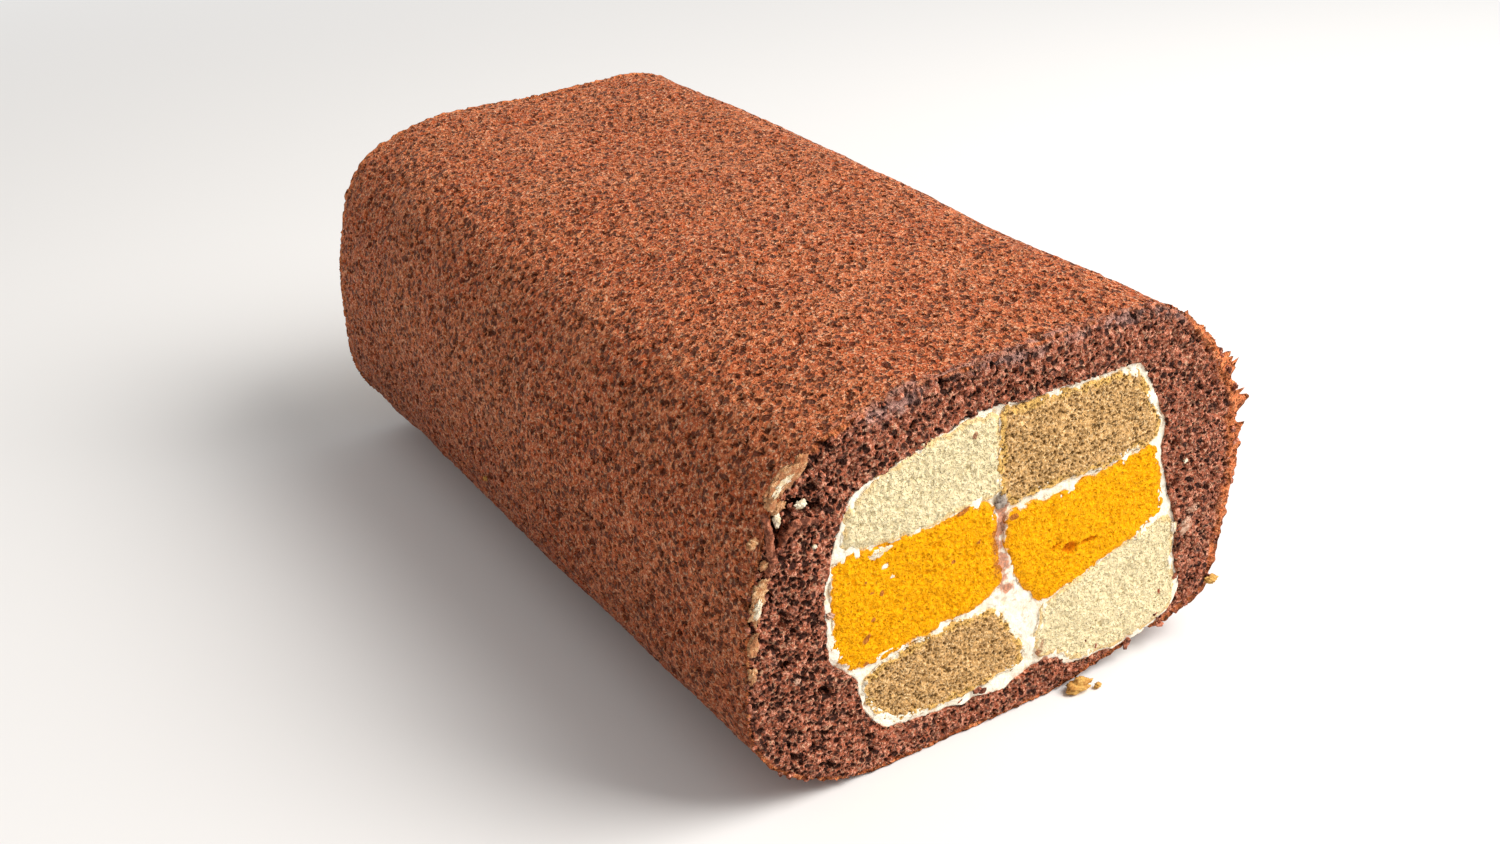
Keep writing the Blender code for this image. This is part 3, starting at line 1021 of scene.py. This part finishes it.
def rgba(colour, by=1.0):
    """A colour with full cover, made lighter or darker by a factor."""
    return (*[min(1.0, c * by) for c in colour], 1.0)


def wrap_finish(colours):
    """Skin and crumb of the chocolate wrap in one material, told apart by the skin mark; painted shade
    darkens the pits, the pores and the skin low down, and painted highlights lighten scattered grains.
    """
    f = Finish("chocolate_wrap_finish", 0.55, 0.16)
    pore, skin, rim, band = (f.mark(m) for m in ("pore", "skin", "rim", "band"))
    grain, cloud, broad = f.noise(0.62, 4), f.noise(2.4, 2), f.noise(16, 2)
    pits = f.pits(1.1)
    fleck = f.ramp(grain, 0.49, 0.64)
    # Painted highlights: scattered grains of skin and crumb are lightened toward skin_bright, standing in
    # for glints on the crumb.
    bright = f.ramp(f.noise(0.55, 2), 0.55, 0.66) * 0.7
    dots, small = f.dots(1.9, 0.38), f.dots(0.95, 0.36)
    deep = (dots + small * 0.75).clipped()
    # Painted shade: hollow is how far a place lies in a pit, pore or torn hollow; the mixes below use it
    # to darken the skin's pits, the crumb's pores, the torn edge and the knife smear.
    hollow = (deep + pits * 0.4 + f.ramp(pore, 0.35, 0.85)).clipped()
    top = f.mix(fleck, rgba(colours.skin), rgba(colours.skin_light))
    top = f.mix(f.ramp(cloud, 0.35, 0.7) * 0.22, top, rgba(colours.skin, 0.75))
    top = f.mix(f.ramp(broad, 0.35, 0.65) * 0.2, top, rgba(colours.skin_light, 0.9))
    top = f.mix(bright, top, rgba(colours.skin_bright))
    top = f.mix(hollow * 0.82, top, rgba(colours.skin_shade))
    cut = f.mix(fleck, rgba(colours.crumb), rgba(colours.crumb_light))
    cut = f.mix(f.ramp(cloud, 0.4, 0.7) * 0.3, cut, rgba(colours.crumb, 0.7))
    cut = f.mix(bright, cut, rgba(colours.skin_bright, 0.95))
    cut = f.mix(hollow * 0.95, cut, rgba(colours.crumb_pore))
    both = f.mix(skin, cut, top)
    torn = f.mix(fleck, rgba(colours.skin_edge), rgba(colours.skin_edge, 1.5))
    torn = f.mix(hollow * 0.45, torn, rgba(colours.skin_shade, 2.0))
    both = f.mix(f.ramp(rim + (cloud - 0.5) * 0.5, 0.1, 0.55) * 0.92, both, torn)
    dull = f.mix(fleck, rgba(colours.band), rgba(colours.band, 1.5))
    dull = f.mix(hollow * 0.6, dull, rgba(colours.crumb_pore, 2.5))
    both = f.mix(f.ramp(band + (cloud - 0.5) * 1.2, 0.15, 0.9) * 0.6, both, dull)
    # Painted shade: the skin is darkened most below 12 mm and less and less up to 46 mm, standing in for
    # the lesser light low on its sides.
    low = f.ramp(f.node("ShaderNodeSeparateXYZ", None, {0: f.place}, 2), 12.0, 46.0)
    both = f.mix((1 - low) * skin * 0.42, both, rgba(colours.skin_shade, 2.0))
    f.colour(both)
    f.bump(grain * 0.7 + f.noise(0.25, 2) * 0.5 - pits * 0.7 - deep * 1.6, 1.1)
    return f.material


def sponge_finish(name, base, light, dark, edge, smear, tear, cream, deep=0.8):
    """Crumb of one kind of sponge: pores go dark with painted shade, edges go golden, cream clings in
    places.
    """
    f = Finish(name, 0.95, 0.1)
    pore, rim = f.mark("pore"), f.mark("rim")
    grain, cloud = f.noise(0.4, 3), f.noise(2.6, 2)
    pits, small = f.pits(0.6), f.dots(0.75, 0.36)
    crumb = f.mix(f.ramp(grain, 0.45, 0.7), rgba(base), rgba(light))
    crumb = f.mix(f.ramp(cloud, 0.35, 0.7) * 0.3, crumb, rgba(base, 0.88))
    gold = f.ramp(rim + (f.noise(2.2, 3) - 0.5) * 1.5, 0.45, 0.8)
    crumb = f.mix(gold * 0.75, crumb, rgba(edge))
    hollow = (pits * 0.4 + small * 0.9 + f.ramp(pore, 0.3, 0.85) * 0.8).clipped()
    # Painted shade: the pores are darkened toward the dark colour by the share deep.
    crumb = f.mix(hollow * deep, crumb, rgba(dark))
    cling = f.ramp(rim * 0.9 + (f.noise(2.8, 3) - 0.5) * 1.2, 0.8, 0.95)
    crumb = f.mix(cling * 0.85, crumb, rgba(cream))
    crumb = f.mix(f.ramp(f.mark("smear") + (grain - 0.5) * 0.8, 0.25, 0.8) * 0.85, crumb,
                  rgba(smear))
    crumb = f.mix(f.mark("tear") * 0.8, crumb, rgba(tear))
    f.colour(crumb)
    f.bump(grain * 0.6 + f.noise(0.25, 2) * 0.4 - pits * 0.5 - small * 0.8, 0.4)
    return f.material


def cream_finish(colours):
    """Cream: off-white, dulled by crumb in places and browned down the upright seam."""
    f = Finish("cream_finish", 0.6, 0.3)
    smear = f.mark("smear")
    cloud, grain = f.noise(2.0, 3), f.noise(0.7, 3)
    base = f.mix(f.ramp(cloud, 0.35, 0.7), rgba(colours.cream), rgba(colours.cream, 0.88))
    base = f.mix(f.ramp(f.noise(1.5, 3), 0.58, 0.7) * 0.6, base, rgba(colours.cream_crumb))
    base = f.mix(f.ramp(f.mark("pore"), 0.6, 1.0) * 0.45, base, rgba(colours.cream_crumb))
    brown = f.mix(f.ramp(grain, 0.4, 0.65), rgba(colours.smear), rgba(colours.smear, 1.8))
    base = f.mix(f.ramp(smear + (grain - 0.5) * 0.9, 0.3, 0.75) * 0.9, base, brown)
    f.colour(base)
    f.bump(grain * 0.8 + f.noise(0.3, 2) * 0.4, 0.3)
    return f.material


def bit_finish(name, base, light, dark):
    """Loose crumb of one kind: each piece a little lighter or darker than the next, its fine pits darkened
    with painted shade.
    """
    f = Finish(name, 0.75, 0.2)
    grain = f.noise(0.5, 3)
    crumb = f.mix(f.ramp(grain, 0.4, 0.7), rgba(base), rgba(light))
    crumb = f.mix(f.ramp(f.noise(1.1, 3), 0.46, 0.6) * 0.8, crumb, rgba(dark))
    # Painted shade in the fine pits of each crumb.
    crumb = f.mix(f.pits(0.6) * 0.5, crumb, rgba(dark))
    crumb = f.mix(f.mark("tone") * 0.35, crumb, rgba(dark))
    f.colour(crumb)
    f.bump(grain * 0.8 + f.noise(0.25, 2) * 0.4, 0.4)
    return f.material


# ---------------------------------------------------------------- user's values

def tone(name, text, value):
    return FloatVectorProperty(name=name, description=text, subtype="COLOR", size=3,
                               min=0.0, max=1.0, default=value)


class RollColours(bpy.types.PropertyGroup):
    skin: tone("Skin", "Baked outer skin", (0.58, 0.114, 0.031))
    skin_light: tone("Skin grain", "Raised grains of the skin", (0.96, 0.355, 0.15))
    # Painted highlight: the colour of the glints on scattered grains of skin and crumb.
    skin_bright: tone("Bright grains", "Brightest grains of skin and crumb", (1.0, 0.60, 0.37))
    # Painted shade: the colour of the shade in the skin's pits and low down on its sides.
    skin_shade: tone("Skin pits", "Bottom of the skin's pits", (0.085, 0.014, 0.004))
    skin_edge: tone("Skin edge", "Torn edge of the skin", (0.90, 0.25, 0.085))
    crumb: tone("Chocolate crumb", "Cut chocolate sponge", (0.50, 0.135, 0.065))
    crumb_light: tone("Crumb grain", "Raised grains of the crumb", (1.0, 0.44, 0.29))
    # Painted shade: the dark of the shade in the chocolate pores; the loose chocolate crumbs also use it
    # as their darker tone.
    crumb_pore: tone("Crumb pores", "Bottom of the chocolate pores", (0.035, 0.006, 0.003))
    band: tone("Knife smear", "Dull smear under the top edge", (0.41, 0.27, 0.245))
    pale: tone("Pale sponge", "Pale sponge crumb", (0.88, 0.735, 0.44))
    # Painted shade: the colour of the shade in the pale sponge's pores.
    pale_dark: tone("Pale pores", "Pores of the pale sponge", (0.80, 0.655, 0.33))
    coffee: tone("Coffee sponge", "Coffee sponge crumb", (0.67, 0.385, 0.145))
    # Painted shade: the colour of the shade in the coffee sponge's pores.
    coffee_dark: tone("Coffee pores", "Pores of the coffee sponge", (0.20, 0.10, 0.022))
    orange: tone("Orange sponge", "Orange sponge crumb", (1.0, 0.425, 0.0))
    # Painted shade: the colour of the shade in the orange sponge's pores.
    orange_dark: tone("Orange pores", "Pores of the orange sponge", (0.92, 0.32, 0.0))
    flake: tone("Torn flakes", "Tan flakes of the torn skin", (0.64, 0.33, 0.14))
    golden: tone("Golden edge", "Baked edge of the sponge blocks", (0.86, 0.52, 0.14))
    cream: tone("Cream", "Cream between the blocks", (0.97, 0.90, 0.75))
    cream_crumb: tone("Cream crumb", "Crumb caught in the cream", (0.80, 0.60, 0.34))
    smear: tone("Seam smear", "Brown crumb in the upright seam", (0.38, 0.14, 0.07))


def colours():
    return bpy.context.scene.swiss_roll_colours


def size(name, text, value):
    """A size in millimetres."""
    return FloatProperty(name=name, description=text, min=0.0, default=value)


class RollSizes(bpy.types.PropertyGroup):
    pit_depth: size("Pit depth", "Depth of the skin's small pits in millimetres", 0.65)
    wide_pit_depth: size("Wide pit depth", "Depth of the skin's wide pits in millimetres", 0.85)
    fringe: size("Fringe", "Reach of the torn skin at the right of a cut in millimetres", 1.6)
    cream_recess: size("Cream recess", "Depth of the cream behind the cut in millimetres", 0.5)
    crumbs: IntProperty(name="Crumbs", description="Small crumbs scattered over the near cut",
                        min=1, default=260)


def sizes():
    return bpy.context.scene.swiss_roll_sizes


class RollStage(bpy.types.PropertyGroup):
    key_power: FloatProperty(name="Key light", description="Power of the large side lamp",
                             default=15.5, min=0.0, unit="POWER")
    sky: FloatProperty(name="Sky", description="Brightness of the even light from all round",
                       default=0.52, min=0.0)


# ---------------------------------------------------------------- operators

class MakeWrap(bpy.types.Operator):
    """Make the chocolate sponge wrap with its skin and cut faces"""
    bl_idname = "swiss_roll.wrap"
    bl_label = "Chocolate wrap"

    def execute(self, context):
        make_wrap(wrap_finish(colours()))
        return {"FINISHED"}


class MakeBlocks(bpy.types.Operator):
    """Make the six sponge blocks of the core"""
    bl_idname = "swiss_roll.blocks"
    bl_label = "Sponge blocks"

    def execute(self, context):
        c = colours()
        finishes = {
            "pale": sponge_finish("pale_sponge_finish", c.pale, (0.95, 0.85, 0.58), c.pale_dark,
                                  (0.86, 0.58, 0.24), c.smear, c.golden, c.cream,
                                  0.35),
            "coffee": sponge_finish("coffee_sponge_finish", c.coffee, (0.98, 0.70, 0.38),
                                    c.coffee_dark, c.golden, c.smear, c.golden, c.cream,
                                    0.9),
            "orange": sponge_finish("orange_sponge_finish", c.orange, (1.0, 0.51, 0.01),
                                    c.orange_dark, (0.90, 0.36, 0.01), (0.42, 0.12, 0.03),
                                    (0.80, 0.20, 0.003), c.cream, 0.4)}
        for k, (node, kind) in enumerate(BLOCKS.items()):
            make_block(node, kind, finishes[kind], 2000 + 100 * k)
        return {"FINISHED"}


class MakeCream(bpy.types.Operator):
    """Make the cream between the blocks and inside the wrap"""
    bl_idname = "swiss_roll.cream"
    bl_label = "Cream"

    def execute(self, context):
        make_cream(cream_finish(colours()))
        return {"FINISHED"}


class MakeBits(bpy.types.Operator):
    """Make the torn flakes, curled skin and crumbs that cling to the roll"""
    bl_idname = "swiss_roll.bits"
    bl_label = "Flakes and crumbs"

    def execute(self, context):
        c = colours()
        kinds = (
            ("chocolate_crumbs", scattered_crumbs(), "chocolate_sponge",
             c.crumb, c.crumb_light, c.crumb_pore),
            ("curled_skin", [curl(rows, 6000 + k) for k, rows in enumerate(CURLS)],
             "chocolate_sponge", (0.50, 0.15, 0.07), (0.85, 0.34, 0.20), (0.07, 0.016, 0.008)),
            ("tan_flakes", lumps(TAN_FLAKES), "chocolate_sponge",
             c.flake, (0.88, 0.60, 0.34), (0.42, 0.15, 0.06)),
            ("cream_chips", lumps(CREAM_CHIPS), "cream",
             c.cream, (0.98, 0.90, 0.74), c.cream_crumb),
            ("pink_crumbs", lumps(PINK_CRUMBS), "pale_sponge",
             (0.70, 0.44, 0.31), (0.88, 0.66, 0.50), (0.45, 0.20, 0.12)),
            ("golden_crumbs", lumps(GOLDEN_CRUMBS), "orange_sponge",
             c.golden, (0.95, 0.62, 0.20), (0.50, 0.22, 0.05)),
            ("grey_lump", lumps(GREY_LUMPS), "cream",
             (0.45, 0.38, 0.32), (0.60, 0.53, 0.45), (0.30, 0.24, 0.20)))
        for name, parts, slot, base, light, dark in kinds:
            make_bits(name, parts, bit_finish(name.rstrip("s") + "_finish", base, light, dark))
        return {"FINISHED"}


CAMERA_PLACE = (-0.1733, -0.2681, 0.1850)
CAMERA_TURN = (63.3, 0.26, -33.47)
CAMERA_LENS, SENSOR = 38.44, 36.0
FLOOR_COLOUR = (0.80, 0.795, 0.79, 1.0)
FLOOR_HALF, FLOOR_DROP = 4.0, 0.0002
BACKDROP = (0.90, 0.895, 0.89, 1.0)
FADE = (260.0, 1100.0)        # where the floor starts and ends going over to the backdrop
SKY_COLOUR = (1.0, 0.98, 0.96, 1.0)
KEY_PLACE, KEY_AIM, KEY_SIDE = (0.54, -0.50, 0.78), (0.0, 0.0, 0.04), 0.7
KEY_COLOUR = (1.0, 0.97, 0.93)


def floor_finish():
    """Pale paper that keeps the shadow near the roll and goes over to the plain backdrop far from
    it, where it is only seen and lights nothing."""
    f = Finish("floor_paper", 0.8, 0.3)
    f.shader.inputs["Base Color"].default_value = FLOOR_COLOUR
    away = f.node("ShaderNodeVectorMath", {"operation": "LENGTH"}, {0: f.place}, "Value")
    white = f.node("ShaderNodeEmission", None, {"Color": BACKDROP})
    both = f.node("ShaderNodeMixShader", None, {
        0: f.ramp(away, *FADE) * seen_plainly(f), 1: Wire(f, f.shader.outputs[0]), 2: white})
    f.tree.links.new(both.socket, f.end.inputs["Surface"])
    return f.material


def seen_plainly(finish):
    """1 where the floor or the sky is seen by the camera, by gloss or through glass, else 0."""
    camera, gloss, glass = (finish.node("ShaderNodeLightPath", output=f"Is {ray} Ray")
                            for ray in ("Camera", "Glossy", "Transmission"))
    return camera.math("MAXIMUM", camera.math("MAXIMUM", camera, gloss), glass)


def world_light(scene, sky):
    """Even soft light from all round; the camera sees the plain backdrop in its place."""
    world = scene.world or bpy.data.worlds.new("World")
    scene.world = world
    world.use_nodes = True
    world.node_tree.nodes.clear()
    w = Tree(world.node_tree)
    soft = w.node("ShaderNodeBackground", None, {"Color": SKY_COLOUR, "Strength": sky})
    plain = w.node("ShaderNodeBackground", None, {"Color": BACKDROP})
    both = w.node("ShaderNodeMixShader", None, {0: seen_plainly(w), 1: soft, 2: plain})
    w.node("ShaderNodeOutputWorld", None, {"Surface": both})


class MakeStage(bpy.types.Operator):
    """Make the floor, the lights and the camera"""
    bl_idname = "swiss_roll.stage"
    bl_label = "Stage"

    def execute(self, context):
        scene = context.scene
        stage = scene.swiss_roll_stage
        mesh = bpy.data.meshes.new("floor")
        mesh.from_pydata([(x * FLOOR_HALF, y * FLOOR_HALF, -FLOOR_DROP)
                          for x, y in ((-1, -1), (1, -1), (1, 1), (-1, 1))], [], [(0, 1, 2, 3)])
        mesh.materials.append(floor_finish())
        floor = bpy.data.objects.new("floor", mesh)
        scene.collection.objects.link(floor)
        world_light(scene, stage.sky)
        lamp = bpy.data.lights.new("key", "AREA")
        lamp.shape, lamp.size, lamp.size_y = "RECTANGLE", KEY_SIDE, KEY_SIDE
        lamp.energy = stage.key_power
        lamp.color = KEY_COLOUR
        key = bpy.data.objects.new("key", lamp)
        key.location = KEY_PLACE
        key.rotation_euler = (Vector(KEY_AIM) - Vector(KEY_PLACE)).to_track_quat(
            "-Z", "Y").to_euler()
        scene.collection.objects.link(key)
        data = bpy.data.cameras.new("camera")
        data.lens, data.sensor_width = CAMERA_LENS, SENSOR
        data.clip_start, data.clip_end = 0.01, 20.0
        camera = bpy.data.objects.new("camera", data)
        camera.location = CAMERA_PLACE
        camera.rotation_euler = Euler([math.radians(a) for a in CAMERA_TURN], "XYZ")
        scene.collection.objects.link(camera)
        scene.camera = camera
        scene.view_settings.view_transform = "Standard"
        return {"FINISHED"}


class SwissRollPanel(bpy.types.Panel):
    bl_idname = "VIEW3D_PT_swiss_roll"
    bl_label = "Swiss roll"
    bl_space_type = "VIEW_3D"
    bl_region_type = "UI"
    bl_category = "Swiss roll"

    def draw(self, context):
        for step in STEPS:
            self.layout.operator(step.bl_idname)
        for group in (colours(), sizes(), context.scene.swiss_roll_stage):
            for name in group.__annotations__:
                self.layout.prop(group, name)


STEPS = (MakeStage, MakeWrap, MakeBlocks, MakeCream, MakeBits)
CLASSES = (RollColours, RollSizes, RollStage, *STEPS, SwissRollPanel)


def register():
    for item in CLASSES:
        bpy.utils.register_class(item)
    bpy.types.Scene.swiss_roll_colours = PointerProperty(type=RollColours)
    bpy.types.Scene.swiss_roll_sizes = PointerProperty(type=RollSizes)
    bpy.types.Scene.swiss_roll_stage = PointerProperty(type=RollStage)


def unregister():
    del bpy.types.Scene.swiss_roll_stage
    del bpy.types.Scene.swiss_roll_sizes
    del bpy.types.Scene.swiss_roll_colours
    for item in reversed(CLASSES):
        bpy.utils.unregister_class(item)


def main():
    register()
    bpy.ops.swiss_roll.stage()
    bpy.ops.swiss_roll.wrap()
    bpy.ops.swiss_roll.blocks()
    bpy.ops.swiss_roll.cream()
    bpy.ops.swiss_roll.bits()


if __name__ == "__main__":
    main()
